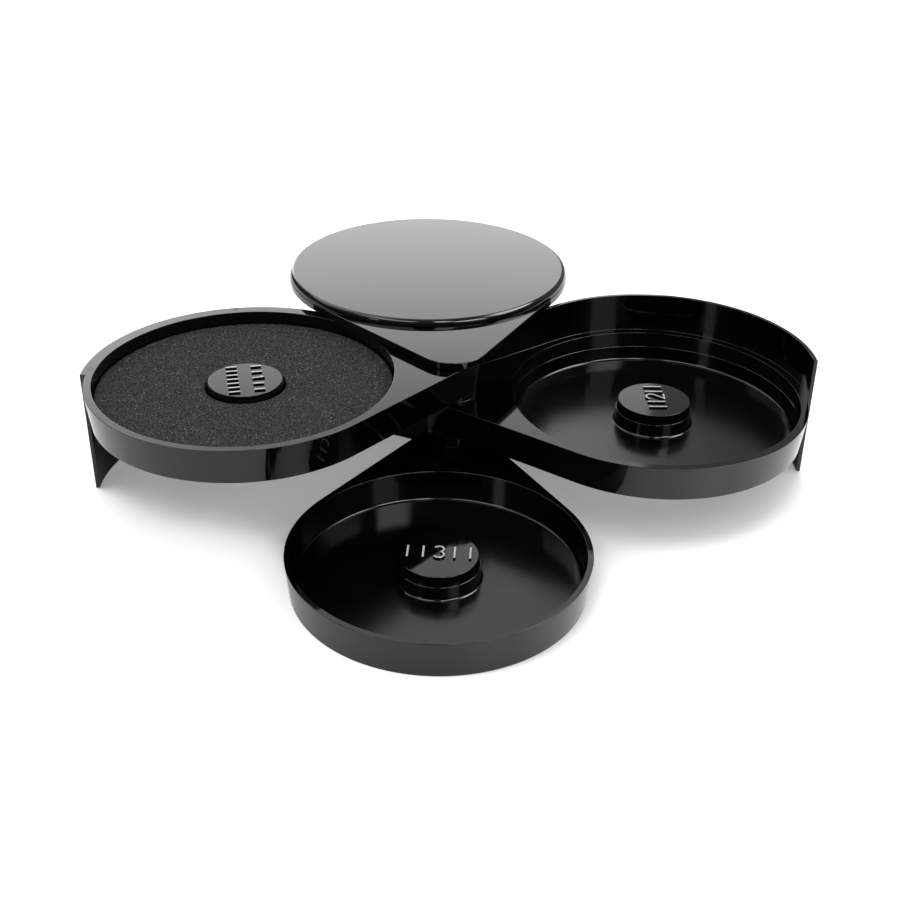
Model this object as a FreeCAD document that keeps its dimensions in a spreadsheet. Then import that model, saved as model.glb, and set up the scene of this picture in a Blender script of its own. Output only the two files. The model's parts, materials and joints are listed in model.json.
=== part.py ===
"""Cocktail glass rimmer: three drop-shaped trays and a lid that swing about one upright pivot.

The sugar tray stands on the table. The salt tray turns above it and carries a tall half wall.
The sponge tray turns above both and carries the other half of that wall as a hanging skirt, so the
closed stack is walled all round. A post moulded into the lid runs down through all the trays, and a
screw in its lower end holds the stack together.

Lengths are in millimetres and angles in degrees. The origin is the centre of the sugar tray's flat
base, +Z is up and +Y points from that centre to the pivot. Each leaf is drawn with the pivot at its
own origin and its tray along its own +X, and is then turned to where it stands when fanned out.
"""
import FreeCAD, Part
import math
import os
import re

import Sketcher
from FreeCAD import Placement, Rotation, Vector

# name, size, what it is
SIZES = [
    # the drop-shaped outline that all the leaves share
    ("pivot_distance", 101.5, "pivot axis to the centre of every tray"),
    ("tip_radius", 14.4, "rounded narrow end of a tray, at its rim"),
    ("rim_inner_radius", 71.5, "mouth of the salt and sponge bowls"),
    ("rim_width", 3.8, "free rim of the salt and sponge trays"),
    ("wall_draft", 1.9, "lean of a tray's outside wall from rim to foot"),
    # the bowl and the round label boss in its middle
    ("tray_depth", 15.3, "rim to floor of the salt and sponge bowls"),
    ("floor_thickness", 2.0, "floor of the salt and sponge bowls"),
    ("boss_radius", 17.8, "round boss in the middle of a bowl"),
    ("boss_foot_ledge", 1.2, "ledge on top of the boss's wider foot"),
    ("boss_foot_height", 6.8, "floor to that ledge"),
    ("boss_cap_height", 4.7, "ledge to the top of the boss"),
    ("boss_wall", 2.0, "top and side of the boss, which is hollow below"),
    # the sugar tray, which is the smaller one below
    ("sugar_setback", 5.9, "how much smaller the sugar bowl is, in radius"),
    ("sugar_rim_width", 2.7, "rim of the sugar bowl"),
    ("sugar_draft", 1.6, "lean of the sugar tray's outside wall"),
    ("sugar_depth", 15.0, "rim to floor of the sugar bowl"),
    ("sugar_floor", 2.4, "floor of the sugar bowl, flat on the table"),
    # how the trays stack
    ("sugar_to_salt_gap", 8.0, "sugar rim to the underside of the salt tray"),
    ("salt_to_sponge_gap", 2.9, "salt rim to the underside of the sponge tray"),
    # half walls
    ("nest_clearance", 0.8, "free rim of one tray to the half wall that closes round it"),
    ("tip_clearance", 1.1, "narrow end of a tray to the straight end of a half wall"),
    ("skirt_wall", 1.9, "thickness of both half walls"),
    ("skirt_shelf", 2.0, "flat rim that joins a half wall to its tray"),
    ("knuckle_room", 7.6, "narrow end of a tray to where the half walls stop"),
    ("salt_wall_start", -3.3, "start of the salt tray's half wall, from the leaf's centre line"),
    ("sponge_skirt_start", 9.0, "start of the sponge tray's skirt, from the leaf's centre line"),
    # underside of the narrow ends
    ("web_thickness", 2.0, "flat top between bowl and pivot"),
    ("web_side", 2.0, "straight side walls below it"),
    ("barrel_wall", 2.4, "pivot barrel round the recess for the screw's head"),
    ("rib_thickness", 1.6, "ribs from the barrel to the bowl"),
    ("rib_spread", 24.0, "angle between neighbouring ribs"),
    ("rib_root", 1.0, "how far a rib runs into the barrel and the bowl's wall"),
    ("spacer_inset", 2.2, "round spacer inside the tray's narrow end, in radius"),
    # pivot hardware
    ("shaft_radius", 3.0, "pivot post, on which the barrels turn"),
    ("bore_clearance", 0.06, "running fit of the barrels on the post, in radius"),
    ("post_flange_overhang", 3.0, "flange at the top of the post, beyond its shaft, in radius"),
    ("post_flange_cover", 1.1, "lid plate above and below that flange"),
    ("post_wall", 1.4, "post round the screw's thread"),
    ("seat_clearance", 0.03, "post in the lid plate and thread in the post, in radius"),
    ("washer_overhang", 1.0, "friction washers beyond the barrels, in radius"),
    ("washer_hole_clearance", 0.3, "washer holes round the post, in radius"),
    ("washer_thickness", 0.5, "friction washers below the salt and sponge trays"),
    ("lid_washer_thickness", 0.3, "slip washer below the lid"),
    ("screw_recess", 1.5, "table to the screw's head"),
    ("head_overhang", 2.0, "screw head beyond the post, in radius"),
    ("head_height", 4.5, "screw head"),
    ("head_washer_overhang", 0.2, "flat washer beyond the screw's head, in radius"),
    ("head_washer_thickness", 1.0, "flat washer above the spring washer"),
    ("spring_washer_thickness", 1.0, "spring washer on the screw's head"),
    ("spring_washer_slot", 1.2, "gap in the spring washer"),
    ("head_clearance", 1.1, "screw head to the wall of its recess"),
    ("socket_radius", 1.75, "hexagon socket, centre to corner"),
    ("socket_depth", 2.4, "hexagon socket"),
    ("thread_length", 12.0, "screw above its head"),
    ("thread_end_gap", 0.8, "end of the screw to the bottom of its hole"),
    # lid
    ("lid_inset", 1.2, "edge of the lid inside the half walls' outline"),
    ("lid_tip_overhang", 3.0, "narrow end of the lid beyond the trays' narrow ends"),
    ("lid_thickness", 3.6, "lid plate"),
    ("disc_height", 3.3, "cover disc on the lid plate"),
    ("disc_lean", 1.0, "lean of the disc's side"),
    # sponge
    ("sponge_thickness", 9.0, "ring of foam"),
    ("sponge_clearance", 0.3, "foam to the bowl's wall and boss"),
    # where the leaves stand when fanned out, from +X
    ("sugar_angle", -90.0, "sugar tray"),
    ("salt_angle", 3.5, "salt tray"),
    ("sponge_angle", 195.2, "sponge tray"),
    ("lid_angle", 100.8, "lid"),
]
NAMES = {name for name, size, note in SIZES}

# sizes worked out from those above
RIM_RADIUS = "(rim_inner_radius + rim_width)"
SUGAR_INNER_RADIUS = "(rim_inner_radius - sugar_setback)"
SUGAR_RADIUS = f"({SUGAR_INNER_RADIUS} + sugar_rim_width)"
SKIRT_RADIUS = f"({RIM_RADIUS} + nest_clearance + skirt_wall)"
SKIRT_TIP_RADIUS = "(tip_radius + tip_clearance + skirt_wall)"
LID_RADIUS = f"({SKIRT_RADIUS} - lid_inset)"
SHELL_HEIGHT = "(tray_depth + floor_thickness)"
SUGAR_RIM = "(sugar_floor + sugar_depth)"
SALT_FOOT = f"({SUGAR_RIM} + sugar_to_salt_gap)"
SALT_RIM = f"({SALT_FOOT} + {SHELL_HEIGHT})"
SPONGE_FOOT = f"({SALT_RIM} + salt_to_sponge_gap)"
SPONGE_RIM = f"({SPONGE_FOOT} + {SHELL_HEIGHT})"
LID_FOOT = f"({SPONGE_RIM} + lid_washer_thickness)"
LID_TOP = f"({LID_FOOT} + lid_thickness)"
FLANGE_FOOT = f"({LID_FOOT} + post_flange_cover)"
FLANGE_TOP = f"({LID_TOP} - post_flange_cover)"
FLANGE_RADIUS = "(shaft_radius + post_flange_overhang)"
HEAD_TOP = "(screw_recess + head_height)"
BEARING_FACE = f"({HEAD_TOP} + spring_washer_thickness + head_washer_thickness)"
HEAD_RADIUS = "(shaft_radius + head_overhang)"
RECESS_RADIUS = f"({HEAD_RADIUS} + head_clearance)"
BARREL_RADIUS = f"({RECESS_RADIUS} + barrel_wall)"
WASHER_RADIUS = f"({BARREL_RADIUS} + washer_overhang)"
WASHER_HOLE = "(shaft_radius + washer_hole_clearance)"
THREAD_HOLE_RADIUS = "(shaft_radius - post_wall)"
THREAD_RADIUS = f"({THREAD_HOLE_RADIUS} - seat_clearance)"
THREAD_TOP = f"({HEAD_TOP} + thread_length)"

doc = FreeCAD.newDocument("GlassRimmer")
sheet = doc.addObject("Spreadsheet::Sheet", "Sizes")


def fill_sheet():
    """Write every driving size into the spreadsheet under its own alias."""
    for row, (name, size, note) in enumerate(SIZES, start=1):
        sheet.set(f"A{row}", name)
        sheet.set(f"B{row}", str(size))
        sheet.set(f"C{row}", note)
        sheet.setAlias(f"B{row}", name)
    doc.recompute()


# ---------------------------------------------------------------- binding sizes

def formula(text):
    """Turn 'tray_depth + 2' into an expression on the spreadsheet's aliases."""
    return re.sub(r"[a-z_]+", lambda word: f"Sizes.{word[0]}" if word[0] in NAMES else word[0], text)


def number(text):
    """The present value of a formula."""
    return float(sheet.evalExpression(formula(text)))


def bind(thing, attribute, text):
    """Bind one property of a feature to a formula on the spreadsheet."""
    thing.setExpression(attribute, formula(text))


# ---------------------------------------------------------------- sketches

class Outline:
    """A sketch on one of its body's origin planes, with constraints bound to the sizes."""

    def __init__(self, body, name, plane="XY_Plane", lift="0", shift="0", turn="0"):
        self.sketch = body.newObject("Sketcher::SketchObject", name)
        origin_planes = {item.Role: item for item in body.Origin.OriginFeatures}
        self.sketch.AttachmentSupport = [(origin_planes[plane], "")]
        self.sketch.MapMode = "FlatFace"
        bind(self.sketch, "AttachmentOffset.Base.z", lift)
        bind(self.sketch, "AttachmentOffset.Base.x", shift)
        if turn != "0":
            bind(self.sketch, "AttachmentOffset.Rotation.Angle", turn)

    def rule(self, kind, *items):
        """Add a constraint that holds no size."""
        return self.sketch.addConstraint(Sketcher.Constraint(kind, *items))

    def measure(self, text, kind, *items):
        """Add a constraint whose size is a formula; angles are in degrees."""
        size = number(text)
        start = math.radians(size) if kind == "Angle" else size
        index = self.sketch.addConstraint(Sketcher.Constraint(kind, *items, start))
        self.sketch.setExpression(f"Constraints[{index}]", formula(text))
        return index

    def circle(self, radius, x="0"):
        """A circle on the X axis, at the pivot unless x says otherwise."""
        centre = Vector(number(x), 0, 0)
        index = self.sketch.addGeometry(Part.Circle(centre, Vector(0, 0, 1), number(radius)))
        if x == "0":
            self.rule("Coincident", index, 3, -1, 1)
        else:
            self.rule("PointOnObject", index, 3, -1)
            self.measure(x, "DistanceX", -1, 1, index, 3)
        self.measure(radius, "Radius", index)
        return index

    def arc(self, x, radius, first, last):
        """An arc about a point on the X axis; gives its index and its first and last end."""
        full = Part.Circle(Vector(x, 0, 0), Vector(0, 0, 1), radius)
        low, high = sorted((first, last))
        index = self.sketch.addGeometry(Part.ArcOfCircle(full, low, high))
        ends = (1, 2) if first < last else (2, 1)
        return index, ends

    def line(self, start, end):
        """A straight stretch between two points given as (x, y)."""
        return self.sketch.addGeometry(Part.LineSegment(Vector(*start, 0), Vector(*end, 0)))

    def chain(self, points):
        """A closed ring of straight lines; gives their indices."""
        following = points[1:] + points[:1]
        lines = [self.line(start, end) for start, end in zip(points, following)]
        for index, after in zip(lines, lines[1:] + lines[:1]):
            self.rule("Coincident", index, 2, after, 1)
        return lines


def on_circle(x, radius, angle):
    """A point on a circle about (x, 0)."""
    return (x + radius * math.cos(angle), radius * math.sin(angle))


def side_angle(big, tip, reach):
    """Angle at which the straight sides leave both circles of a drop outline."""
    return math.acos((tip - big) / reach)


def draw_drop(outline, big_radius, tip_radius):
    """The drop outline: a large arc about the tray's centre, a small one about the pivot."""
    reach = number("pivot_distance")
    big = number(big_radius)
    tip = number(tip_radius)
    leave = side_angle(big, tip, reach)
    bow, bow_ends = outline.arc(reach, big, -leave, leave)
    nose, nose_ends = outline.arc(0, tip, leave, 2 * math.pi - leave)
    left = outline.line(on_circle(reach, big, leave), on_circle(0, tip, leave))
    right = outline.line(on_circle(0, tip, -leave), on_circle(reach, big, -leave))
    outline.rule("Tangent", bow, bow_ends[1], left, 1)
    outline.rule("Tangent", left, 2, nose, nose_ends[0])
    outline.rule("Tangent", nose, nose_ends[1], right, 1)
    outline.rule("Tangent", right, 2, bow, bow_ends[0])
    outline.rule("Coincident", nose, 3, -1, 1)
    outline.rule("PointOnObject", bow, 3, -1)
    outline.measure("pivot_distance", "DistanceX", -1, 1, bow, 3)
    outline.measure(big_radius, "Radius", bow)
    outline.measure(tip_radius, "Radius", nose)


def draw_half_cut(outline, start_angle, side):
    """Everything on one side of the leaf's centre line, up to where a half wall starts."""
    reach = number("pivot_distance")
    span = 2 * reach
    start = side * math.radians(number(start_angle))
    corner = (reach + span * math.cos(start), span * math.sin(start))
    points = [(reach, 0), corner, (corner[0], -side * span), (-span, -side * span), (-span, 0)]
    ray, right, bottom, left, axis = outline.chain(points)
    outline.rule("PointOnObject", ray, 1, -1)
    outline.rule("Vertical", right)
    outline.rule("Horizontal", bottom)
    outline.rule("Vertical", left)
    outline.rule("Horizontal", axis)
    outline.measure("pivot_distance", "DistanceX", -1, 1, ray, 1)
    outline.measure(f"{side} * {start_angle}", "Angle", ray)
    outline.measure("2 * pivot_distance", "Distance", ray)
    outline.measure("2 * pivot_distance", "DistanceX", left, 2, -1, 1)
    if side > 0:
        outline.measure("2 * pivot_distance", "DistanceY", left, 1, left, 2)
    else:
        outline.measure("2 * pivot_distance", "DistanceY", left, 2, left, 1)


def draw_web_hollow(outline, bowl_radius, tip_radius):
    """The hollow below a web: round at the pivot, closed by the bowl's wall."""
    reach = number("pivot_distance")
    edge_radius = f"({bowl_radius} - web_side)"
    bowl_size = number(bowl_radius)
    edge = number(edge_radius)
    tip = number(tip_radius)
    leave = side_angle(edge, tip, reach)
    meet = leave + math.acos(edge / bowl_size)
    nose, nose_ends = outline.arc(0, tip, leave, 2 * math.pi - leave)
    bowl_arc, bowl_ends = outline.arc(reach, bowl_size, meet, 2 * math.pi - meet)
    left = outline.line(on_circle(reach, bowl_size, meet), on_circle(0, tip, leave))
    right = outline.line(on_circle(0, tip, -leave), on_circle(reach, bowl_size, -meet))
    guide = outline.circle(edge_radius, "pivot_distance")
    outline.sketch.setConstruction(guide, True)
    outline.rule("Coincident", left, 1, bowl_arc, bowl_ends[0])
    outline.rule("Tangent", left, 2, nose, nose_ends[0])
    outline.rule("Tangent", nose, nose_ends[1], right, 1)
    outline.rule("Coincident", right, 2, bowl_arc, bowl_ends[1])
    outline.rule("Tangent", left, guide)
    outline.rule("Tangent", right, guide)
    outline.rule("Coincident", nose, 3, -1, 1)
    outline.rule("Coincident", bowl_arc, 3, guide, 3)
    outline.measure(bowl_radius, "Radius", bowl_arc)
    outline.measure(tip_radius, "Radius", nose)


def draw_profile(outline, points):
    """A closed profile of straight lines whose corners are pairs of formulas (out, up)."""
    places = [(number(out), number(up)) for out, up in points]
    lines = outline.chain(places)
    for index, (out, up) in zip(lines, points):
        if out == "0":
            outline.rule("PointOnObject", index, 1, -2)
        else:
            outline.measure(out, "DistanceX", -1, 1, index, 1)
        outline.measure(up, "DistanceY", -1, 1, index, 1)


# ---------------------------------------------------------------- features

def new_body(label, angle):
    """An empty body at the pivot, turned to the angle of the leaf that it belongs to."""
    body = doc.addObject("PartDesign::Body", label)
    body.Label = label
    body.Placement = Placement(Vector(0, 0, 0), Rotation(Vector(0, 0, 1), 0))
    bind(body, "Placement.Base.y", "pivot_distance")
    bind(body, "Placement.Rotation.Angle", angle)
    return body


def pad(body, name, outline, length, downward=False):
    """Add material along a sketch's normal."""
    feature = body.newObject("PartDesign::Pad", name)
    feature.Profile = outline.sketch
    feature.Reversed = downward
    bind(feature, "Length", length)
    outline.sketch.Visibility = False
    return feature


def cut_up(body, name, outline, length=None):
    """Cut upwards from a sketch, through everything unless a length is given."""
    feature = body.newObject("PartDesign::Pocket", name)
    feature.Profile = outline.sketch
    feature.Reversed = True
    if length is None:
        feature.Type = "ThroughAll"
    else:
        bind(feature, "Length", length)
    return feature


def turned(body, name, outline, kind="PartDesign::Revolution"):
    """Revolve a profile, or cut with it, about its own upright axis."""
    feature = body.newObject(kind, name)
    feature.Profile = outline.sketch
    feature.ReferenceAxis = (outline.sketch, ["V_Axis"])
    feature.Angle = 360
    return feature


def half_wall(body, side, start_angle, top, shelf_top):
    """Half of the outer wall: it hangs from, or stands outside, the tray's own rim.

    A full drop-shaped ring and its shelf are made first; the half that belongs to the other tray
    and the part that would foul the knuckles are then cut away. side is 1 where the wall is on the
    leaf's +Y side and -1 where it is on the other.
    """
    shelf = Outline(body, "ShelfOutline", lift=shelf_top)
    draw_drop(shelf, SKIRT_RADIUS, SKIRT_TIP_RADIUS)
    pad(body, "Shelf", shelf, "skirt_shelf", downward=True)
    wall = Outline(body, "WallOutline")
    draw_drop(wall, SKIRT_RADIUS, SKIRT_TIP_RADIUS)
    draw_drop(wall, f"{SKIRT_RADIUS} - skirt_wall", f"{SKIRT_TIP_RADIUS} - skirt_wall")
    pad(body, "Wall", wall, top)
    half = Outline(body, "OpenHalf")
    draw_half_cut(half, start_angle, side)
    cut_up(body, "OpenHalfCut", half)
    knuckle = Outline(body, "KnuckleOutline")
    knuckle.circle("tip_radius + knuckle_room")
    cut_up(body, "KnuckleCut", knuckle)


def shell_block(body, rim, height, radius, draft):
    """The outside of a tray, leaning in from its rim to its foot."""
    top = Outline(body, "RimOutline", lift=rim)
    draw_drop(top, radius, "tip_radius")
    foot = Outline(body, "FootOutline", lift=f"{rim} - {height}")
    draw_drop(foot, f"{radius} - {draft}", f"tip_radius - {draft}")
    loft = body.newObject("PartDesign::AdditiveLoft", "Shell")
    loft.Profile = top.sketch
    loft.Sections = [foot.sketch]
    loft.Ruled = True


def web_underside(body, foot, height, radius, draft):
    """Hollow the narrow end from below and put back the pivot barrel and three ribs."""
    bowl_radius = f"({radius} - {draft})"
    hollow = Outline(body, "WebHollow", lift=foot)
    draw_web_hollow(hollow, bowl_radius, f"(tip_radius - {draft} - web_side)")
    cut_up(body, "WebHollowCut", hollow, f"{height} - web_thickness")
    barrel = Outline(body, "BarrelOutline", lift=foot)
    barrel.circle(BARREL_RADIUS)
    pad(body, "Barrel", barrel, height)
    for place in (-1, 0, 1):
        angle = f"{place} * rib_spread"
        rib = Outline(body, "RibOutline", lift=foot, turn=angle)
        aside = f"pivot_distance * sin({angle})"
        bowl_wall = f"pivot_distance * cos({angle}) - sqrt({bowl_radius} ^ 2 - ({aside}) ^ 2)"
        start = f"{BARREL_RADIUS} - rib_root"
        end = f"{bowl_wall} + rib_root"
        low = "0 - rib_thickness / 2"
        high = "rib_thickness / 2"
        draw_profile(rib, [(start, low), (end, low), (end, high), (start, high)])
        pad(body, "Rib", rib, height)


def bowl(body, rim, depth, mouth_radius):
    """The annular bowl round its boss, turned about the tray's centre."""
    floor = f"({rim} - {depth})"
    ledge = f"({floor} + boss_foot_height)"
    boss_top = f"({ledge} + boss_cap_height)"
    over = f"({rim} + floor_thickness)"
    profile = Outline(body, "BowlProfile", plane="XZ_Plane", shift="pivot_distance")
    draw_profile(profile, [
        ("0", boss_top),
        ("boss_radius", boss_top),
        ("boss_radius", ledge),
        ("boss_radius + boss_foot_ledge", ledge),
        ("boss_radius + boss_foot_ledge", floor),
        (mouth_radius, floor),
        (mouth_radius, over),
        ("0", over),
    ])
    turned(body, "Bowl", profile, "PartDesign::Groove")


def boss_underside(body, floor, foot):
    """Hollow the boss from below, so that its walls are as thin as the floor."""
    hollow = Outline(body, "BossHollow", lift=foot)
    hollow.circle("boss_radius - boss_wall", "pivot_distance")
    cut_up(body, "BossHollowCut", hollow, f"{floor} + boss_foot_height + boss_cap_height - boss_wall")


def spacer(body, rim, gap):
    """The round spacer on the web that carries the next tray."""
    outline = Outline(body, "SpacerOutline", lift=rim)
    outline.circle("tip_radius - spacer_inset")
    pad(body, "Spacer", outline, f"{gap} - washer_thickness")


def bore(body):
    """The hole that turns on the shoulder of the pivot screw."""
    outline = Outline(body, "BoreOutline")
    outline.circle("shaft_radius + bore_clearance")
    cut_up(body, "Bore", outline)


def ring(label, angle, inner, outer, foot, height):
    """A flat ring about the pivot, such as a washer."""
    body = new_body(label, angle)
    outline = Outline(body, "RingOutline", lift=foot)
    outline.circle(inner)
    outline.circle(outer)
    pad(body, "Ring", outline, height)
    return body


# ---------------------------------------------------------------- the pieces

def sugar_tray():
    """Base tray: the smallest leaf, flat on the table."""
    body = new_body("sugar_tray", "sugar_angle")
    shell_block(body, SUGAR_RIM, SUGAR_RIM, SUGAR_RADIUS, "sugar_draft")
    web_underside(body, "0", SUGAR_RIM, SUGAR_RADIUS, "sugar_draft")
    spacer(body, SUGAR_RIM, "sugar_to_salt_gap")
    bowl(body, SUGAR_RIM, "sugar_depth", SUGAR_INNER_RADIUS)
    boss_underside(body, "sugar_floor", "0")
    bore(body)
    recess = Outline(body, "HeadRecess")
    recess.circle(RECESS_RADIUS)
    cut_up(body, "HeadRecessCut", recess, BEARING_FACE)
    return body


def salt_tray():
    """Middle tray, with the half wall that rises above its own rim."""
    body = new_body("salt_tray", "salt_angle")
    half_wall(body, 1, "salt_wall_start", SPONGE_RIM, SALT_RIM)
    shell_block(body, SALT_RIM, SHELL_HEIGHT, RIM_RADIUS, "wall_draft")
    web_underside(body, SALT_FOOT, SHELL_HEIGHT, RIM_RADIUS, "wall_draft")
    spacer(body, SALT_RIM, "salt_to_sponge_gap")
    bowl(body, SALT_RIM, "tray_depth", "rim_inner_radius")
    boss_underside(body, "floor_thickness", SALT_FOOT)
    bore(body)
    return body


def sponge_tray():
    """Top tray, with the skirt that hangs from its rim to the table."""
    body = new_body("sponge_tray", "sponge_angle")
    half_wall(body, -1, "sponge_skirt_start", SPONGE_RIM, SPONGE_RIM)
    shell_block(body, SPONGE_RIM, SHELL_HEIGHT, RIM_RADIUS, "wall_draft")
    web_underside(body, SPONGE_FOOT, SHELL_HEIGHT, RIM_RADIUS, "wall_draft")
    bowl(body, SPONGE_RIM, "tray_depth", "rim_inner_radius")
    boss_underside(body, "floor_thickness", SPONGE_FOOT)
    bore(body)
    return body


def sponge():
    """Ring of foam that fills the bowl of the sponge tray round its boss."""
    body = new_body("sponge", "sponge_angle")
    outline = Outline(body, "FoamOutline", lift=f"{SPONGE_FOOT} + floor_thickness")
    outline.circle("boss_radius + boss_foot_ledge + sponge_clearance", "pivot_distance")
    outline.circle("rim_inner_radius - sponge_clearance", "pivot_distance")
    pad(body, "Foam", outline, "sponge_thickness")
    return body


def lid_plate():
    """Flat drop-shaped plate, moulded round the post's flange."""
    body = new_body("lid_plate", "lid_angle")
    plate = Outline(body, "PlateOutline", lift=LID_FOOT)
    draw_drop(plate, LID_RADIUS, "tip_radius + lid_tip_overhang")
    pad(body, "Plate", plate, "lid_thickness")
    seat = Outline(body, "PostSeat", plane="XZ_Plane")
    hole = "shaft_radius + seat_clearance"
    wide_hole = f"{FLANGE_RADIUS} + seat_clearance"
    draw_profile(seat, [
        ("0", LID_FOOT),
        (hole, LID_FOOT),
        (hole, FLANGE_FOOT),
        (wide_hole, FLANGE_FOOT),
        (wide_hole, FLANGE_TOP),
        ("0", FLANGE_TOP),
    ])
    turned(body, "PostSeatCut", seat, "PartDesign::Groove")
    return body


def lid_disc():
    """Round cover on the lid plate, flush with the plate's edge below and leaning in to its flat top."""
    body = new_body("lid_disc", "lid_angle")
    profile = Outline(body, "DiscProfile", plane="XZ_Plane", shift="pivot_distance")
    top = f"({LID_TOP} + disc_height)"
    draw_profile(profile, [
        ("0", LID_TOP),
        (LID_RADIUS, LID_TOP),
        (f"{LID_RADIUS} - disc_lean", top),
        ("0", top),
    ])
    turned(body, "Disc", profile)
    return body


def pivot_post():
    """Post held in the lid by its flange, with the screw's hole in its lower end."""
    body = new_body("pivot_post", "lid_angle")
    profile = Outline(body, "PostProfile", plane="XZ_Plane")
    hole_top = f"({THREAD_TOP} + thread_end_gap)"
    draw_profile(profile, [
        (THREAD_HOLE_RADIUS, HEAD_TOP),
        ("shaft_radius", HEAD_TOP),
        ("shaft_radius", FLANGE_FOOT),
        (FLANGE_RADIUS, FLANGE_FOOT),
        (FLANGE_RADIUS, FLANGE_TOP),
        ("0", FLANGE_TOP),
        ("0", hole_top),
        (THREAD_HOLE_RADIUS, hole_top),
    ])
    turned(body, "Post", profile)
    return body


def pivot_screw():
    """Screw from below into the post, with a wide head that carries the stack's washers."""
    body = new_body("pivot_screw", "lid_angle")
    profile = Outline(body, "ScrewProfile", plane="XZ_Plane")
    draw_profile(profile, [
        ("0", "screw_recess"),
        (HEAD_RADIUS, "screw_recess"),
        (HEAD_RADIUS, HEAD_TOP),
        (THREAD_RADIUS, HEAD_TOP),
        (THREAD_RADIUS, THREAD_TOP),
        ("0", THREAD_TOP),
    ])
    turned(body, "Screw", profile)
    socket = Outline(body, "SocketOutline", lift="screw_recess")
    corner = number("socket_radius")
    points = [on_circle(0, corner, math.radians(60 * turn)) for turn in range(6)]
    sides = socket.chain(points)
    guide = socket.circle("socket_radius")
    socket.sketch.setConstruction(guide, True)
    for side in sides:
        socket.rule("PointOnObject", side, 1, guide)
    for side in sides[1:]:
        socket.rule("Equal", sides[0], side)
    socket.rule("PointOnObject", sides[0], 1, -1)
    cut_up(body, "Socket", socket, "socket_depth")
    return body


def spring_washer():
    """Split spring washer on the screw's head."""
    body = ring("spring_washer", "lid_angle", WASHER_HOLE, HEAD_RADIUS, HEAD_TOP, "spring_washer_thickness")
    slot = Outline(body, "SlotOutline", lift=HEAD_TOP)
    low = "0 - spring_washer_slot / 2"
    high = "spring_washer_slot / 2"
    start = "shaft_radius / 2"
    end = f"2 * {HEAD_RADIUS}"
    draw_profile(slot, [(start, low), (end, low), (end, high), (start, high)])
    cut_up(body, "Slot", slot, "spring_washer_thickness")
    return body


def washers():
    """The flat washers of the pivot stack."""
    head_washer_radius = f"{HEAD_RADIUS} + head_washer_overhang"
    head_washer_foot = f"{HEAD_TOP} + spring_washer_thickness"
    lower_foot = f"{SALT_FOOT} - washer_thickness"
    middle_foot = f"{SPONGE_FOOT} - washer_thickness"
    return [
        ring("head_washer", "sugar_angle", WASHER_HOLE, head_washer_radius,
             head_washer_foot, "head_washer_thickness"),
        ring("lower_washer", "sugar_angle", WASHER_HOLE, WASHER_RADIUS, lower_foot, "washer_thickness"),
        ring("middle_washer", "salt_angle", WASHER_HOLE, WASHER_RADIUS, middle_foot, "washer_thickness"),
        ring("lid_washer", "sponge_angle", WASHER_HOLE, WASHER_RADIUS, SPONGE_RIM, "lid_washer_thickness"),
    ]


# ---------------------------------------------------------------- checking and writing

def check_document():
    """Stop if any feature failed or a sketch is not fully held."""
    failed = [item.Label for item in doc.Objects if {"Invalid", "Error"} & set(item.State)]
    if failed:
        raise RuntimeError(f"failed features: {failed}")
    for item in doc.Objects:
        if item.TypeId == "Sketcher::SketchObject" and item.solve() != 0:
            raise RuntimeError(f"sketch {item.Label} cannot be solved")


def write_parts(bodies):
    """Check each piece's solid and write it to its own file."""
    os.makedirs("parts", exist_ok=True)
    for body in bodies:
        shape = body.Shape
        if shape.isNull() or not shape.isValid() or len(shape.Solids) != 1:
            raise RuntimeError(f"{body.Label} is not one valid solid")
        shape.exportStep(f"parts/{body.Label}.step")
        print(f"{body.Label:18s} {shape.Volume / 1000:8.2f} cm3")


fill_sheet()
pieces = [sugar_tray(), salt_tray(), sponge_tray(), sponge(), lid_plate(), lid_disc(),
          pivot_post(), pivot_screw(), spring_washer()]
pieces += washers()
doc.recompute()
check_document()
write_parts(pieces)
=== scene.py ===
"""Looks of the cocktail glass rimmer: glossy black mouldings, a ring of black foam, white studio.

Sizes are in millimetres (MM turns them into metres), angles in degrees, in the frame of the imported
model: the origin is the centre of the sugar tray's base and +Y points from it to the pivot.
"""

import json
import math
from dataclasses import dataclass

import bpy
from mathutils import Matrix, Vector, noise


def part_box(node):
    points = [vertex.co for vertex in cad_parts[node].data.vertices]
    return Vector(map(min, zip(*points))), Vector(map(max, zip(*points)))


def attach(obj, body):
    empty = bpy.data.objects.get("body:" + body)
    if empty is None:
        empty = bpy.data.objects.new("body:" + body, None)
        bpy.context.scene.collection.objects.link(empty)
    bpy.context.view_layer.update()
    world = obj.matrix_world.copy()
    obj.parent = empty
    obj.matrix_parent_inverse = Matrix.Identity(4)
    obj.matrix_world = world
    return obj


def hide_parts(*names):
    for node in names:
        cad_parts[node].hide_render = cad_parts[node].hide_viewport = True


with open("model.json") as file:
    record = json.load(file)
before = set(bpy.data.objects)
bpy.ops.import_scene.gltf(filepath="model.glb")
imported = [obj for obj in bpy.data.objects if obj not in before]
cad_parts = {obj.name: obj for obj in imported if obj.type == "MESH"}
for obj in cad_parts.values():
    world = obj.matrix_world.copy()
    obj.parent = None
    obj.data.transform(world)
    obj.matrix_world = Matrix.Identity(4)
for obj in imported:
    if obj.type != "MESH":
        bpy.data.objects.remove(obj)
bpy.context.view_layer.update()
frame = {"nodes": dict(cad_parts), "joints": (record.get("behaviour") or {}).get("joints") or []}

MM = 0.001
NODES = frame["nodes"]
PIVOT = Vector(next(joint["pos_m"] for joint in frame["joints"] if joint["name"] == "lid_swing")) / MM
TRAY_REACH = PIVOT.y  # the sugar tray's centre is the origin, and every tray is as far from the pivot
LID_TOP = 70.1


# ---------------------------------------------------------------- bowls

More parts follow.
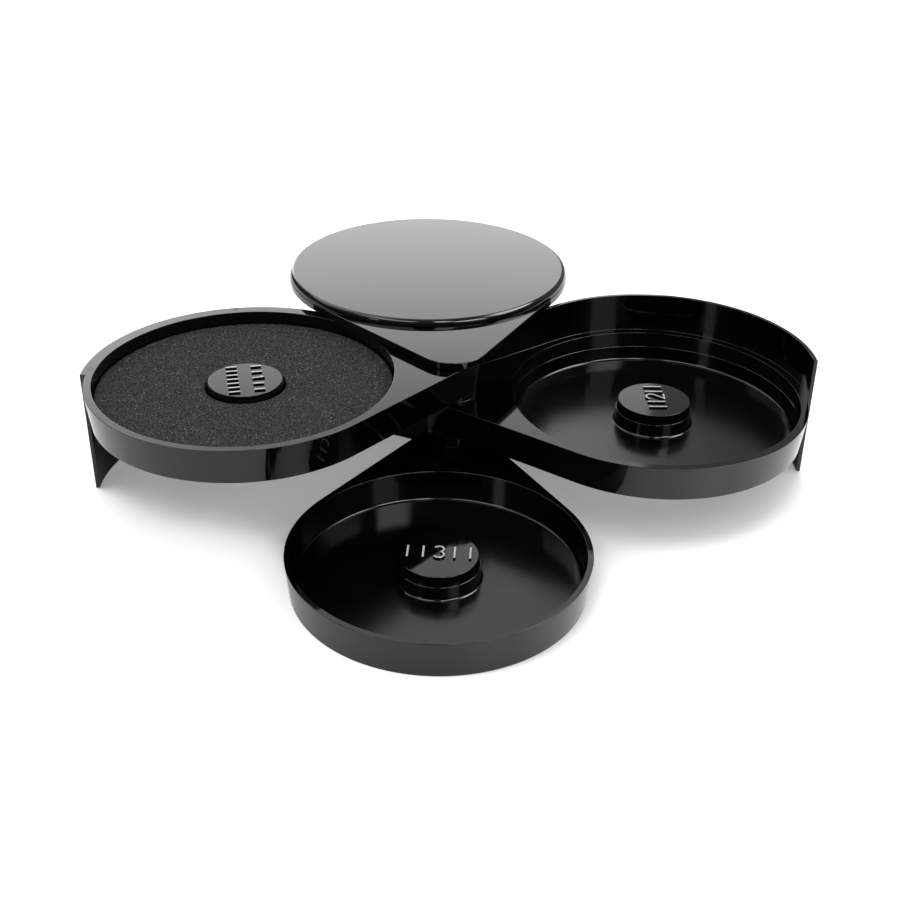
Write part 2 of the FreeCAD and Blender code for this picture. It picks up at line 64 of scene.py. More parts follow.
@dataclass
class Bowl:
    """One round bowl: where it is and the heights that matter for its trim."""
    name: str
    body: str
    direction: float  # of the tray from the pivot
    floor: float
    rim: float
    mouth: float  # radius inside the rim
    rim_width: float
    liner_rise: float = 0  # how far the wall's leaning lower part rises above the floor
    liner_step: float = 0  # width of the step on top of it

    @property
    def centre(self):
        turn = math.radians(self.direction)
        x = PIVOT.x + TRAY_REACH * math.cos(turn)
        y = PIVOT.y + TRAY_REACH * math.sin(turn)
        return Vector((x, y))


SUGAR = Bowl("sugar", "base", direction=-90, floor=2.4, rim=17.4, mouth=65.6, rim_width=2.7,
             liner_rise=14.5, liner_step=0.02)
SALT = Bowl("salt", "salt_leaf", direction=3.5, floor=27.4, rim=42.7, mouth=71.5, rim_width=3.8,
            liner_rise=7.3, liner_step=0.5)
SPONGE = Bowl("sponge", "sponge_leaf", direction=195.2, floor=47.6, rim=62.9, mouth=71.5, rim_width=3.8)

WALL_LEAN = 0.8          # how far the lower part of a bowl's wall leans in
CORNER_RADIUS = 1.3      # fillet between wall and floor
STEP_ROUNDING = 0.3      # of the step's edge
SINK = 0.04              # a fillet ends this far below the floor that it runs out on
BOSS_RADIUS = 17.8
BOSS_FOOT_RADIUS = 19.0
BOSS_LEDGE = 6.8         # top of the boss's wider foot, above the bowl's floor
BOSS_RISE = 11.5         # boss top above the bowl's floor
BOSS_FILLET = 1.3
EDGE = 0.4               # rounding of the mouldings' edges
LID_EDGE = 1.8           # rounding of the lid disc's upper edge
STEEL_EDGE = 0.15        # rounding of the screw's and its washers' edges
EMBED = 0.25             # trim runs this far into what carries it
SKIN = 0.02              # trim that covers a face stands this far off it
EJECTOR_RING = 0.36      # radius of an ejector pin's mark, as a share of the rim's width
EJECTOR_LINE = 0.16      # half the width of its line
EJECTOR_RISE = 0.09


# ---------------------------------------------------------------- camera

CAMERA_PLACE = Vector((0.02846, -0.47296, 0.33977))  # metres
CAMERA_YAW = math.radians(-2.905)
CAMERA_PITCH = math.radians(-29.907)
CAMERA_ROLL = 0.0104
FOCAL_PIXELS = 1293.4
FRAME_PIXELS = 900
SENSOR_WIDTH = 36


def make_camera():
    """The photograph's camera."""
    data = bpy.data.cameras.new("camera")
    data.sensor_width = SENSOR_WIDTH
    data.lens = SENSOR_WIDTH * FOCAL_PIXELS / FRAME_PIXELS
    data.clip_start = 0.01
    camera = bpy.data.objects.new("camera", data)
    level = math.cos(CAMERA_PITCH)
    ahead = Vector((math.sin(CAMERA_YAW) * level, math.cos(CAMERA_YAW) * level, math.sin(CAMERA_PITCH)))
    right = Vector((math.cos(CAMERA_YAW), -math.sin(CAMERA_YAW), 0))
    up = right.cross(ahead)
    tilted_right = right * math.cos(CAMERA_ROLL) + up * math.sin(CAMERA_ROLL)
    tilted_up = up * math.cos(CAMERA_ROLL) - right * math.sin(CAMERA_ROLL)
    turn = Matrix((tilted_right, tilted_up, -ahead)).transposed()
    camera.matrix_world = Matrix.Translation(CAMERA_PLACE) @ turn.to_4x4()
    bpy.context.scene.collection.objects.link(camera)
    bpy.context.scene.camera = camera


# ---------------------------------------------------------------- node trees

class Tree:
    """Short hand for building a node tree."""

    def __init__(self, owner):
        owner.use_nodes = True
        self.nodes = owner.node_tree.nodes
        self.links = owner.node_tree.links

    def feed(self, socket, value):
        """Link a socket, or set the number or colour on it."""
        if isinstance(value, bpy.types.NodeSocket):
            self.links.new(value, socket)
        else:
            socket.default_value = value

    def node(self, kind, inputs, output, **settings):
        """Add a node, feed its inputs and give the named output."""
        node = self.nodes.new(kind)
        for name, value in settings.items():
            setattr(node, name, value)
        for name, value in inputs.items():
            self.feed(node.inputs[name], value)
        return node.outputs[output]

    def place(self):
        """The point on the object, in metres."""
        return self.nodes.new("ShaderNodeTexCoord").outputs["Object"]

    def noise(self, scale, detail):
        inputs = {"Vector": self.place(), "Scale": scale, "Detail": detail}
        return self.node("ShaderNodeTexNoise", inputs, "Fac")

    def cells(self, scale):
        """Cells that each have one random colour."""
        return self.node("ShaderNodeTexVoronoi", {"Vector": self.place(), "Scale": scale}, "Color")

    def spread(self, value, low, high, from_low=0.0, from_high=1.0, smooth=False):
        """Map a value from one range onto another, held at both ends."""
        inputs = {
            "Value": value,
            "From Min": from_low,
            "From Max": from_high,
            "To Min": low,
            "To Max": high,
        }
        kind = "SMOOTHSTEP" if smooth else "LINEAR"
        return self.node("ShaderNodeMapRange", inputs, "Result", interpolation_type=kind)

    def math(self, operation, first, second=0.0):
        return self.node("ShaderNodeMath", {0: first, 1: second}, "Value", operation=operation)

    def mix(self, share, first, second):
        """Blend two colours."""
        node = self.nodes.new("ShaderNodeMix")
        node.data_type = "RGBA"
        for socket, value in ((0, share), (6, first), (7, second)):
            self.feed(node.inputs[socket], value)
        return node.outputs[2]

    def mix_shaders(self, share, first, second):
        return self.node("ShaderNodeMixShader", {0: share, 1: first, 2: second}, "Shader")

    def bump(self, height, strength, distance):
        inputs = {"Height": height, "Strength": strength, "Distance": distance}
        return self.node("ShaderNodeBump", inputs, "Normal")


def new_material(name):
    """A material, its node tree and the inputs of its Principled shader."""
    material = bpy.data.materials.new(name)
    tree = Tree(material)
    return material, tree, tree.nodes["Principled BSDF"].inputs


# ---------------------------------------------------------------- materials

def grey(value):
    """A grey that is very slightly blue."""
    return (value, value, value * 1.02, 1)


def moulded_plastic(name, smoothest, roughest):
    """Black moulding: its gloss varies softly, and it has faint orange peel."""
    material, tree, shader = new_material(name)
    tree.feed(shader["Base Color"], tree.mix(tree.noise(60, 3), grey(0.0003), grey(0.0010)))
    gloss = tree.spread(tree.noise(28, 5), smoothest, roughest, from_low=0.3, from_high=0.7)
    tree.feed(shader["Roughness"], gloss)
    tree.feed(shader["Normal"], tree.bump(tree.noise(240, 2), 0.04, 0.0002))
    shader["IOR"].default_value = 1.5
    return material


def foam():
    """Black open-cell foam: grey struts, pores darkened with painted shade, and scattered bright
    flecks.
    """
    material, tree, shader = new_material("foam")
    pores = tree.noise(2400, 3)
    strut = tree.spread(pores, 0, 1, from_low=0.39, from_high=0.63)
    # painted shade: the colour turns near black in the pores, where the bump sinks
    struts_and_painted_pore_shade = tree.mix(strut, grey(0.001), grey(0.078))
    fleck = tree.spread(tree.cells(2000), 0, 1, from_low=0.80, from_high=0.96)
    cloud = tree.spread(tree.noise(90, 2), 0.5, 1.0, from_low=0.35, from_high=0.65)
    flecked = tree.mix(tree.math("MULTIPLY", fleck, cloud), struts_and_painted_pore_shade, grey(0.26))
    tree.feed(shader["Base Color"], flecked)
    tree.feed(shader["Roughness"], tree.spread(pores, 0.95, 0.7))
    tree.feed(shader["Normal"], tree.bump(pores, 0.7, 0.0004))
    shader["Specular IOR Level"].default_value = 0.05
    return material


def painted_glyph_highlight():
    """Pale caps on the glyphs' tops: a painted highlight, uneven in tone."""
    material, tree, shader = new_material("print")
    tree.feed(shader["Base Color"], tree.mix(tree.noise(700, 3), grey(0.40), grey(0.62)))
    tree.feed(shader["Roughness"], tree.spread(tree.noise(500, 2), 0.30, 0.45))
    return material


def turned_steel():
    """Stainless steel, a little uneven in colour and gloss."""
    material, tree, shader = new_material("steel")
    shader["Metallic"].default_value = 1
    tree.feed(shader["Base Color"], tree.mix(tree.noise(300, 3), grey(0.5), grey(0.62)))
    tree.feed(shader["Roughness"], tree.spread(tree.noise(900, 2), 0.22, 0.38))
    return material


def nylon():
    """Natural white nylon of the slip washers."""
    material, tree, shader = new_material("nylon")
    darker = (0.66, 0.66, 0.62, 1)
    lighter = (0.74, 0.74, 0.70, 1)
    tree.feed(shader["Base Color"], tree.mix(tree.noise(200, 3), darker, lighter))
    tree.feed(shader["Roughness"], tree.spread(tree.noise(500, 2), 0.4, 0.55))
    return material


# ---------------------------------------------------------------- CAD nodes

EDGE_BAND = 0.02         # an edge this near to the stated height is marked
FLOOR_BAND = 0.05        # a face this near to a bowl's floor lies in it
LEVEL_NORMAL = 0.9       # a face whose normal rises by more than this is level
SHARP_ANGLE = 28         # an edge that bends by more than this gets rounded
WELD_REACH = 0.002
FLAT_ANGLE = 0.1         # faces that bend by less than this become one before the rounding


def mark_edge(node, height):
    """Mark the outer edge that a CAD node has at one height, for a rounding of its own."""
    mesh = NODES[node].data
    spots = [tuple(round(value / MM, 2) for value in vertex.co) for vertex in mesh.vertices]
    sides = [polygon for polygon in mesh.polygons if abs(polygon.normal.z) < LEVEL_NORMAL]
    borders = {frozenset((spots[a], spots[b])) for polygon in sides for a, b in polygon.edge_keys}
    marks = mesh.attributes.new("bevel_weight_edge", "FLOAT", "EDGE")
    for edge in mesh.edges:
        ends = [spots[index] for index in edge.vertices]
        level = all(abs(end[2] - height) < EDGE_BAND for end in ends)
        marks.data[edge.index].value = float(level and frozenset(ends) in borders)


def round_edges(piece, width, segments, marked=False):
    """Round a piece's sharp edges, or only its marked ones."""
    bevel = piece.modifiers.new("edges", "BEVEL")
    bevel.width = width * MM
    bevel.segments = segments
    bevel.limit_method = "WEIGHT" if marked else "ANGLE"
    bevel.angle_limit = math.radians(SHARP_ANGLE)
    bevel.use_clamp_overlap = not marked


def dress(node, materials, edge, marked_edge=0):
    """Give a CAD node its materials and round its edges."""
    piece = NODES[node]
    piece.data.materials.clear()
    for material in materials:
        piece.data.materials.append(material)
    weld = piece.modifiers.new("weld", "WELD")
    weld.merge_threshold = WELD_REACH * MM
    if edge:
        flats = piece.modifiers.new("flats", "DECIMATE")
        flats.decimate_type = "DISSOLVE"
        flats.angle_limit = math.radians(FLAT_ANGLE)
    if marked_edge:
        round_edges(piece, marked_edge, segments=12, marked=True)
    if edge:
        round_edges(piece, edge, segments=3)
    normals = piece.modifiers.new("normals", "WEIGHTED_NORMAL")
    normals.keep_sharp = False
    normals.weight = 80
    for polygon in piece.data.polygons:
        polygon.use_smooth = True


def paint_floor(node, bowl):
    """Put the node's second material on the faces that lie in its bowl's floor."""
    for polygon in NODES[node].data.polygons:
        in_floor = abs(polygon.center.z / MM - bowl.floor) < FLOOR_BAND
        if in_floor and polygon.normal.z > LEVEL_NORMAL:
            polygon.material_index = 1


# ---------------------------------------------------------------- mesh pieces

def new_piece(name, points, faces, material, body):
    """A mesh piece from points in millimetres that rides on a body."""
    mesh = bpy.data.meshes.new(name)
    mesh.from_pydata([Vector(point) * MM for point in points], [], faces)
    mesh.update()
    for polygon in mesh.polygons:
        polygon.use_smooth = True
    mesh.materials.append(material)
    piece = bpy.data.objects.new(name, mesh)
    bpy.context.scene.collection.objects.link(piece)
    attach(piece, body)
    return piece


def lathe_faces(rows, around):
    """Faces of a closed ring whose cross-section has that many points."""
    faces = []
    for turn in range(around):
        here = turn * rows
        after = (turn + 1) % around * rows
        for row in range(rows):
            below = (row + 1) % rows
            faces.append((here + row, after + row, after + below, here + below))
    return faces


def lathe(name, profile, centre, material, body, around=240):
    """A solid ring: a closed cross-section of (radius, height) turned about an upright axis."""
    points = []
    for turn in range(around):
        angle = 2 * math.pi * turn / around
        for radius, height in profile:
            x = centre.x + radius * math.cos(angle)
            y = centre.y + radius * math.sin(angle)
            points.append((x, y, height))
    faces = lathe_faces(len(profile), around)
    piece = new_piece(name, points, faces, material, body)
    piece.data.set_sharp_from_angle(angle=math.radians(30))


def quarter(centre, radius, start, steps=6):
    """Points along a quarter circle in a cross-section."""
    points = []
    for step in range(steps + 1):
        angle = math.radians(start + 90 * step / steps)
        points.append((centre[0] + radius * math.cos(angle), centre[1] + radius * math.sin(angle)))
    return points


def bowl_liner(bowl, material):
    """The lower wall of a bowl: a small step, a leaning wall and a round corner to the floor."""
    step = bowl.floor + bowl.liner_rise
    inner = bowl.mouth - bowl.liner_step
    foot = inner - WALL_LEAN
    sunk = bowl.floor - SINK
    rounding = min(STEP_ROUNDING, bowl.liner_step)
    edge = quarter((inner + rounding, step - rounding), rounding, 90)
    corner = quarter((foot - CORNER_RADIUS, sunk + CORNER_RADIUS), CORNER_RADIUS, -90)
    outside = bowl.mouth + EMBED
    bottom = bowl.floor - EMBED
    profile = [(outside, step), *edge, *reversed(corner)]
    profile += [(foot - CORNER_RADIUS, bottom), (outside, bottom)]
    lathe(f"{bowl.name}_bowl_liner", profile, bowl.centre, material, bowl.body)


def boss_fillet(bowl, material):
    """The round corner between a boss and the bowl's floor."""
    sunk = bowl.floor - SINK
    outer = BOSS_FOOT_RADIUS + BOSS_FILLET - SINK
    inside = BOSS_FOOT_RADIUS - EMBED
    corner = quarter((outer, sunk + BOSS_FILLET), BOSS_FILLET, 180)
    bottom = bowl.floor - EMBED
    profile = [(inside, sunk + BOSS_FILLET), *corner, (outer, bottom), (inside, bottom)]
    lathe(f"{bowl.name}_boss_fillet", profile, bowl.centre, material, bowl.body, around=120)


def boss_flare(bowl, over_ledge, material):
    """The steep slope from the edge of a boss's cap to its foot's ledge, or down over that ledge."""
    below_edge = 0.05
    inside = BOSS_RADIUS - EMBED
    upper = BOSS_RISE - EDGE - below_edge
    if over_ledge:
        reach = BOSS_FOOT_RADIUS + SKIN
        lower = BOSS_LEDGE - EDGE
    else:
        reach = BOSS_FOOT_RADIUS - EDGE
        lower = BOSS_LEDGE + SKIN
    sunk = lower - EMBED
    shoulder = BOSS_RADIUS + SKIN
    profile = [(inside, sunk), (reach, sunk), (reach, lower), (shoulder, upper), (inside, upper)]
    lifted = [(radius, bowl.floor + rise) for radius, rise in profile]
    lathe(f"{bowl.name}_boss_flare", lifted, bowl.centre, material, bowl.body, around=120)


def ejector_marks(bowl, spots, material):
    """The fine raised rings that ejector pins leave on a rim, each at an (azimuth, radius)."""
    ring = EJECTOR_RING * bowl.rim_width
    top = bowl.rim + EJECTOR_RISE
    bottom = bowl.rim - EMBED
    profile = [
        (ring - EJECTOR_LINE, bottom),
        (ring + EJECTOR_LINE, bottom),
        (ring + EJECTOR_LINE / 2, top),
        (ring - EJECTOR_LINE / 2, top),
    ]
    for number, (azimuth, reach) in enumerate(spots, start=1):
        turn = math.radians(azimuth)
        centre = bowl.centre + Vector((math.cos(turn), math.sin(turn))) * reach
        lathe(f"{bowl.name}_ejector_mark_{number}", profile, centre, material, bowl.body, around=40)


# ---------------------------------------------------------------- raised marks on the bosses

WIDEST_BEND = 1.5        # a stroke's width at a bend, at most, as a share of its own width
MARK_RISE = 0.85         # of a stroke above the boss
MARK_SECTION = [  # cross-section of a stroke: aside, up
    (-0.62, -EMBED),
    (0.62, -EMBED),
    (0.56, MARK_RISE - 0.12),
    (0.46, MARK_RISE),
    (-0.46, MARK_RISE),
    (-0.56, MARK_RISE - 0.12),
]
PAINTED_CAP_SECTION = [  # of the painted highlight cap on top of it
    (-0.44, MARK_RISE - 0.05),
    (0.44, MARK_RISE - 0.05),
    (0.42, MARK_RISE + 0.04),
    (-0.42, MARK_RISE + 0.04),
]


def arc_points(x, y, radius, first, last, steps=14):
    """Points along an arc, from one angle to another."""
    points = []
    for step in range(steps + 1):
        angle = math.radians(first + (last - first) * step / steps)
        points.append((x + radius * math.cos(angle), y + radius * math.sin(angle)))
    return points


# the stroke of each glyph, one unit high, about its own centre
GLYPHS = {
    "tick": [(0, -0.5), (0, 0.5)],
    "1": [(-0.22, 0.25), (0.03, 0.5), (0.03, -0.5)],
    "2": arc_points(0, 0.22, 0.28, 165, -38) + [(-0.27, -0.5), (0.30, -0.5)],
    "3": arc_points(0, 0.25, 0.25, 150, -60) + arc_points(0, -0.23, 0.27, 60, -150),
}


def sweep(path, section):
    """Points and faces of a closed cross-section carried along a flat path, with both ends closed."""
    points = []
    for index, here in enumerate(path):
        before = (here - path[index - 1]).normalized() if index else None
        after = (path[index + 1] - here).normalized() if index + 1 < len(path) else None
        before = before or after
        after = after or before
        ahead = (before + after).normalized()
        widen = 1 / max(ahead.dot(after), 1 / WIDEST_BEND)
        side = Vector((ahead.y, -ahead.x)) * widen
        for aside, height in section:
            points.append((here.x + side.x * aside, here.y + side.y * aside, height))
    size = len(section)
    faces = [tuple(range(size)), tuple(reversed(range(len(points) - size, len(points))))]
    for start in range(0, len(points) - size, size):
        after = start + size
        for corner in range(size):
            following = (corner + 1) % size
            faces.append((start + following, start + corner, after + corner, after + following))
    return points, faces


def raised_glyph(name, glyph, size, place, bowl, materials):
    """A raised stroke on a boss, capped with a painted highlight; the glyph's top is towards the pivot.
    """
    turn = Matrix.Rotation(math.radians(bowl.direction + 90), 2)
    path = [place + turn @ Vector(point) * size for point in GLYPHS[glyph]]
    boss_top = bowl.floor + BOSS_RISE
    parts = (
        (name, MARK_SECTION, materials[0], "black_plastic"),
        # the pale cap on the stroke's top is a painted highlight
        (name + "_print", PAINTED_CAP_SECTION, materials[1], "washer_plastic"),
    )
    for part, section, material, slot in parts:
        lifted = [(aside, boss_top + height) for aside, height in section]
        points, faces = sweep(path, lifted)
        piece = new_piece(part, points, faces, material, bowl.body)
        for polygon in piece.data.polygons:
            polygon.use_smooth = False


def numeral(digit):
    """A digit between ticks, like a mark on a dial."""
    return ["tick", "tick", digit, "tick", "tick"]


def boss_marks(bowl, row_name, glyphs, materials, size, pitch, inwards, aside=0):
    """A row of glyphs on a boss.

    inwards is how far the row lies from the boss's middle towards the pivot, aside how far it is
    shifted along itself.
    """
    direction = math.radians(bowl.direction)
    out = Vector((math.cos(direction), math.sin(direction)))
    across = Vector((-out.y, out.x))
    for number, glyph in enumerate(glyphs):
        along = (number - (len(glyphs) - 1) / 2) * pitch + aside
        spot = bowl.centre - out * inwards + across * along
        raised_glyph(f"{bowl.name}_{row_name}_{number + 1}", glyph, size, spot, bowl, materials)


# ---------------------------------------------------------------- foam

FOAM_INNER_RADIUS = 19.4
FOAM_CORNER = 0.7
FOAM_SIDE_ROOM = 0.2     # keeps the relief inside the sponge's solid
FOAM_TOP_ROOM = 0.15
FOAM_AROUND = 560        # points round the ring and across its top
FOAM_ACROSS = 80
DIAGONAL = 0.7           # both parts of an outward direction that slopes by 45 degrees


def foam_profile(outer, foot, top):
    """Cross-section of the foam ring as (radius, height, outward radius, outward height)."""
    inner = FOAM_INNER_RADIUS
    shoulder = top - FOAM_CORNER
    side_steps = 4
    rows = []
    for step in range(side_steps):
        rows.append((inner, foot + (shoulder - foot) * step / side_steps, -1, 0))
    for radius, height in reversed(quarter((inner + FOAM_CORNER, shoulder), FOAM_CORNER, 90, 3)):
        rows.append((radius, height, -DIAGONAL, DIAGONAL))
    flat = outer - inner - 2 * FOAM_CORNER
    for step in range(1, FOAM_ACROSS):
        rows.append((inner + FOAM_CORNER + flat * step / FOAM_ACROSS, top, 0, 1))
    for radius, height in reversed(quarter((outer - FOAM_CORNER, shoulder), FOAM_CORNER, 0, 3)):
        rows.append((radius, height, DIAGONAL, DIAGONAL))
    for step in range(1, side_steps + 1):
        rows.append((outer, shoulder - (shoulder - foot) * step / side_steps, 1, 0))
    return rows


def foam_relief(point):
    """How far the foam's torn cells stand out at a point, in millimetres."""
    nearest = noise.voronoi(point / 0.9)[0][0]
    grain = 0.16 * noise.noise(point / 0.75)
    pore = 0.22 * max(0.0, 0.45 - nearest)
    swell = 0.10 * noise.noise(point / 6)
    return grain - pore + swell


def foam_ring(bowl, material):
    """The foam ring, with open cells over its whole surface and ragged edges."""
    low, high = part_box("sponge")
    outer = (high[0] - low[0]) / 2 / MM - FOAM_SIDE_ROOM
    rows = foam_profile(outer, low[2] / MM, high[2] / MM - FOAM_TOP_ROOM)
    centre = bowl.centre
    points = []
    for turn in range(FOAM_AROUND):
        angle = 2 * math.pi * turn / FOAM_AROUND
        spoke = Vector((math.cos(angle), math.sin(angle), 0))
        for radius, height, out, up in rows:
            point = Vector((centre.x, centre.y, height)) + spoke * radius
            point += (spoke * out + Vector((0, 0, up))) * foam_relief(point)
            points.append(point)
    faces = lathe_faces(len(rows), FOAM_AROUND)
    piece = new_piece("foam_ring", points, faces, material, bowl.body)
    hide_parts("sponge")


# ---------------------------------------------------------------- stage

FLOOR_SIZE = 12          # metres, as are the places on the floor below
FLOOR_DROP = 0.0001      # below the object's feet
SKY_REACH = 0.12         # how near the object has to be to hide the sky from the floor


def floor_in_view(tree, across, openness):
    """White that the floor paints in the view with its own glow: painted light, most in the open, and
    more deep in the shadow than at its edge.

    On the left half this painted glow makes that edge sharper, and near the object the open part
    reaches further in.
    """
    in_shadow = tree.spread(openness, 0.28, 0.12, from_low=0.05, from_high=0.20)
    left_half = tree.spread(across, 0.18, -0.04, from_low=-0.05, from_high=0.05)
    near = tree.spread(across, 0, 1, from_low=-0.19, from_high=-0.11)
    shifted = tree.math("ADD", openness, tree.math("MULTIPLY", left_half, near))
    full = tree.spread(across, 0.53, 0.62, from_low=-0.05, from_high=0.05)
    in_open = tree.spread(shifted, 0, 0.38, from_low=0.44, from_high=full, smooth=True)
    return tree.math("ADD", in_shadow, in_open)


def floor_in_mirrors(tree, across, openness):
    """Painted light: white glow that the floor adds in reflections, most on the right, and none deep in
    the shadow.

    At the far left it adds a little more than in the middle.
    """
    to_right = tree.spread(across, 0.22, 0.62, from_low=0.02, from_high=0.20)
    far_left = tree.spread(across, 0.15, 0, from_low=-0.3, from_high=-0.1)
    lit = tree.spread(openness, 0, 1, from_low=0.1, from_high=0.5)
    return tree.math("MULTIPLY", tree.math("ADD", to_right, far_left), lit)


def make_floor():
    """White floor that keeps the object's shadow and adds a glow of its own, painted light that also
    reshapes that shadow.
    """
    half = FLOOR_SIZE / 2
    mesh = bpy.data.meshes.new("floor")
    corners = [(-half, -half, 0), (half, -half, 0), (half, half, 0), (-half, half, 0)]
    mesh.from_pydata(corners, [], [(0, 1, 2, 3)])
    floor = bpy.data.objects.new("floor", mesh)
    floor.location = (0, 0, -FLOOR_DROP)
    bpy.context.scene.collection.objects.link(floor)
    material, tree, shader = new_material("floor")
    shader["Base Color"].default_value = (0.9, 0.9, 0.9, 1)
    shader["Roughness"].default_value = 0.3
    shader["Specular IOR Level"].default_value = 0.25
    shader["Emission Color"].default_value = (1, 1, 1, 1)
    path = tree.nodes.new("ShaderNodeLightPath").outputs
    split = tree.nodes.new("ShaderNodeSeparateXYZ")
    tree.feed(split.inputs[0], tree.place())
    across = split.outputs["X"]
    openness = tree.node("ShaderNodeAmbientOcclusion", {"Distance": SKY_REACH}, "AO", samples=16)
    # painted light: the floor's own glow, shaped by how much sky it sees and by its place
    in_view = tree.math("MULTIPLY", floor_in_view(tree, across, openness), path["Is Camera Ray"])
    mirrored = tree.math("MULTIPLY", floor_in_mirrors(tree, across, openness), path["Is Glossy Ray"])
    tree.feed(shader["Emission Strength"], tree.math("ADD", in_view, mirrored))
    mesh.materials.append(material)


WALL_LEFT = -28          # azimuths of the bright wall's ends, from +Y towards +X
WALL_RIGHT = 7.0
WALL_LEFT_BLUR = 8       # the left end fades outwards over this
WALL_RIGHT_BLUR = 0.15   # the right end fades over this to both sides
GAP_LIGHT = 0.38         # even grey to the right of the wall
GAP_END = 55             # azimuth where it starts to fade
GAP_BLUR = 25
STRIP_BLUR = 5           # a strip light's sides and top fade over this
STRIP_FOOT_BLUR = 3
STRIPS = [  # lights that only glossy surfaces see: first and last azimuth and elevation, radiance
    (-80, -28, 38, 70, 1.6),
    (30, 100, 46, 60, 9.0),
    (124, 148, 40, 48, 12.0),
    (150, 165, 53, 70, 9.0),
    (-165, -100, 53, 70, 4.0),
]


def wall_light(tree, azimuth, rise):
    """Radiance of the white wall: brightest near the table, and brighter at its left end."""
    low_part = tree.spread(rise, 3.1, 1.5, from_low=19.5, from_high=27.5)
    fading = tree.spread(rise, 0, 0.9, from_low=27.5, from_high=60)
    left_end = tree.spread(azimuth, 1.4, 1.0, from_low=-21, from_high=-14)
    return tree.math("MULTIPLY", tree.math("SUBTRACT", low_part, fading), left_end)


def strip_light(tree, azimuth, rise, first, last, lowest, highest, radiance):
    """Radiance of a strip light with soft edges."""
    start = tree.spread(azimuth, 0, 1, from_low=first - STRIP_BLUR, from_high=first)
    end = tree.spread(azimuth, 1, 0, from_low=last, from_high=last + STRIP_BLUR)
    bottom = tree.spread(rise, 0, 1, from_low=lowest - STRIP_FOOT_BLUR, from_high=lowest)
    top = tree.spread(rise, radiance, 0, from_low=highest, from_high=highest + STRIP_BLUR)
    sideways = tree.math("MULTIPLY", start, end)
    upright = tree.math("MULTIPLY", bottom, top)
    return tree.math("MULTIPLY", sideways, upright)


def studio_light(tree, azimuth, rise):
    """Radiance of the studio: a white wall at the back, grey on its right, and strip lights."""
    room = tree.spread(rise, 0.04, 0.35, from_low=0, from_high=60)
    gap = tree.spread(azimuth, 1, 0, from_low=GAP_END, from_high=GAP_END + GAP_BLUR)
    beside = tree.spread(gap, room, GAP_LIGHT)
    from_left = tree.spread(azimuth, 0, 1, from_low=WALL_LEFT - WALL_LEFT_BLUR, from_high=WALL_LEFT)
    right_start = WALL_RIGHT - WALL_RIGHT_BLUR
    right_end = WALL_RIGHT + WALL_RIGHT_BLUR
    past_right = tree.spread(azimuth, 0, 1, from_low=right_start, from_high=right_end)
    around = tree.spread(past_right, room, beside)
    on_wall = tree.math("MULTIPLY", from_left, tree.math("SUBTRACT", 1.0, past_right))
    studio = tree.spread(on_wall, around, wall_light(tree, azimuth, rise))
    for strip in STRIPS:
        studio = tree.math("ADD", studio, strip_light(tree, azimuth, rise, *strip))
    return studio


def background(tree, colour):
    """A background shader of strength 1."""
    return tree.node("ShaderNodeBackground", {"Color": colour, "Strength": 1.0}, "Background")


def make_world():
    """White in the view and as light for matt surfaces, and a studio for glossy ones to mirror."""
    world = bpy.data.worlds.new("studio")
    bpy.context.scene.world = world
    tree = Tree(world)
    output = tree.nodes["Background"].outputs["Background"].links[0].to_socket
    split = tree.nodes.new("ShaderNodeSeparateXYZ")
    tree.feed(split.inputs[0], tree.nodes.new("ShaderNodeTexCoord").outputs["Generated"])
    azimuth = tree.math("DEGREES", tree.math("ARCTAN2", split.outputs["X"], split.outputs["Y"]))
    rise = tree.math("DEGREES", tree.math("ARCSINE", split.outputs["Z"]))
    path = tree.nodes.new("ShaderNodeLightPath").outputs
    white = background(tree, (1, 1, 1, 1))
    mirrored = background(tree, studio_light(tree, azimuth, rise))
    out_of_view = tree.mix_shaders(path["Is Glossy Ray"], white, mirrored)
    final = tree.mix_shaders(path["Is Camera Ray"], out_of_view, white)
    tree.links.new(final, output)


CAMERA_AZIMUTH = 2.84    # of the camera as the pivot sees it
BOX_DISTANCE = 1.5       # from the pivot, in metres, as are the boxes' sizes


def soft_box(name, azimuth, elevation, width, height, radiance):
    """A soft box that faces the pivot; azimuth is from the object's front, towards +X."""
    turn = math.radians(azimuth)
    rise = math.radians(elevation)
    level = math.cos(rise)
    away = Vector((math.sin(turn) * level, -math.cos(turn) * level, math.sin(rise)))
    data = bpy.data.lights.new(name, "AREA")
    data.shape = "RECTANGLE"
    data.size = width
    data.size_y = height
    data.energy = radiance * math.pi * width * height
    light = bpy.data.objects.new(name, data)
    light.location = PIVOT * MM + away * BOX_DISTANCE
    light.rotation_mode = "QUATERNION"
    light.rotation_quaternion = (-away).to_track_quat("-Z", "Y")
    bpy.context.scene.collection.objects.link(light)


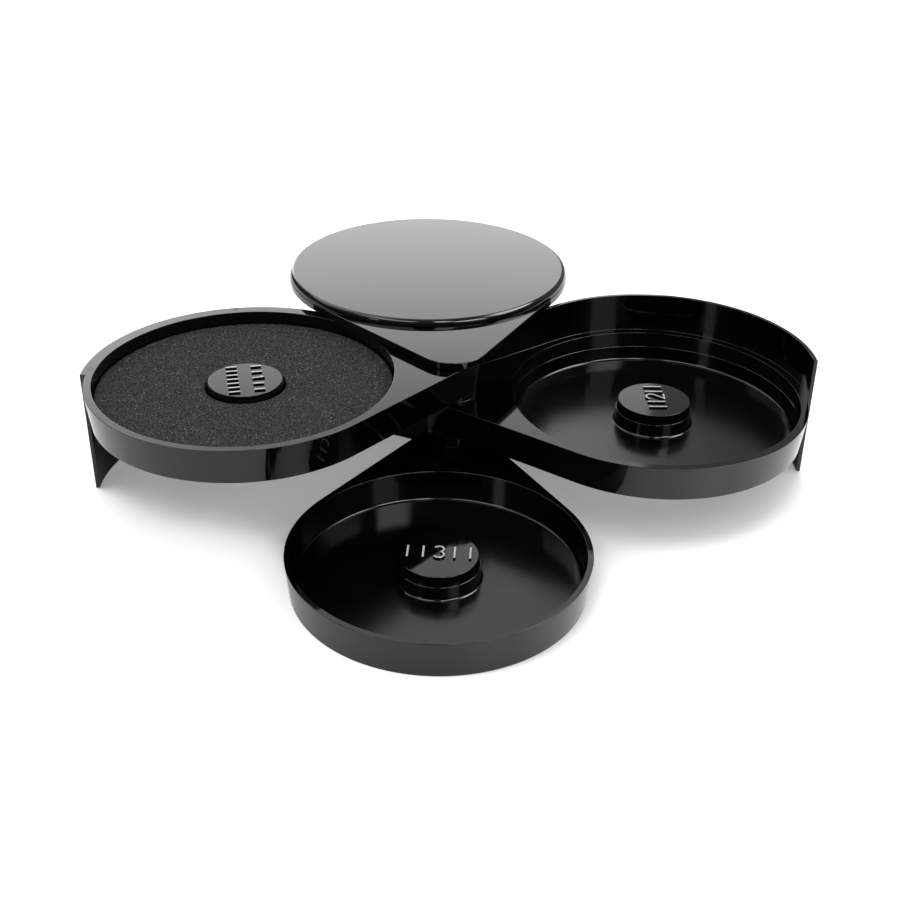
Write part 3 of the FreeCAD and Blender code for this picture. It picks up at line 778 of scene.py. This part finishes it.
def make_lights():
    """Two upright soft boxes in front, on either side of the camera."""
    soft_box("left_box", CAMERA_AZIMUTH - 45, elevation=21, width=0.2, height=0.45, radiance=3.0)
    soft_box("right_box", CAMERA_AZIMUTH + 41, elevation=31, width=0.5, height=0.8, radiance=2.2)


# ---------------------------------------------------------------- the scene

bpy.context.scene.view_settings.view_transform = "Standard"
make_camera()

polished = moulded_plastic("polished_plastic", smoothest=0.035, roughest=0.07)
satin = moulded_plastic("satin_plastic", smoothest=0.16, roughest=0.22)
steel = turned_steel()
white_nylon = nylon()
# the pale caps on the marks are a painted highlight
mark_looks = (polished, painted_glyph_highlight())
black_foam = foam()

for node_name in ("sugar_tray", "salt_tray", "sponge_tray", "lid_plate"):
    dress(node_name, [polished, satin], EDGE)
mark_edge("lid_disc", LID_TOP)
dress("lid_disc", [polished], EDGE, marked_edge=LID_EDGE)
for node_name in ("pivot_screw", "spring_washer", "head_washer"):
    dress(node_name, [steel], STEEL_EDGE)
dress("pivot_post", [steel], 0)
for node_name in ("lower_washer", "middle_washer", "lid_washer"):
    dress(node_name, [white_nylon], 0)
dress("sponge", [black_foam], 0)

paint_floor("sugar_tray", SUGAR)
paint_floor("salt_tray", SALT)
for open_bowl in (SUGAR, SALT):
    bowl_liner(open_bowl, polished)
    boss_fillet(open_bowl, polished)
for any_bowl in (SUGAR, SALT, SPONGE):
    boss_flare(any_bowl, over_ledge=any_bowl is SPONGE, material=polished)

ejector_marks(SUGAR, [(-91, 66.9), (1.5, 66.9)], polished)
ejector_marks(SALT, [(-143.3, 75.0), (-83, 73.6)], polished)
ejector_marks(SPONGE, [(104.6, 76.4), (-178.7, 74.2), (-76.4, 73.4)], polished)

boss_marks(SUGAR, "mark", numeral("3"), mark_looks, size=8.6, pitch=7.0, inwards=0.8)
boss_marks(SALT, "mark", numeral("2"), mark_looks, size=9.0, pitch=5.4, inwards=-0.7, aside=1.7)
boss_marks(SPONGE, "mark", numeral("1"), mark_looks, size=5.2, pitch=6.2, inwards=6.0)
boss_marks(SPONGE, "scale", ["tick"] * 7, mark_looks, size=5.4, pitch=4.4, inwards=-5.9)

foam_ring(SPONGE, black_foam)

make_floor()
make_world()
make_lights()
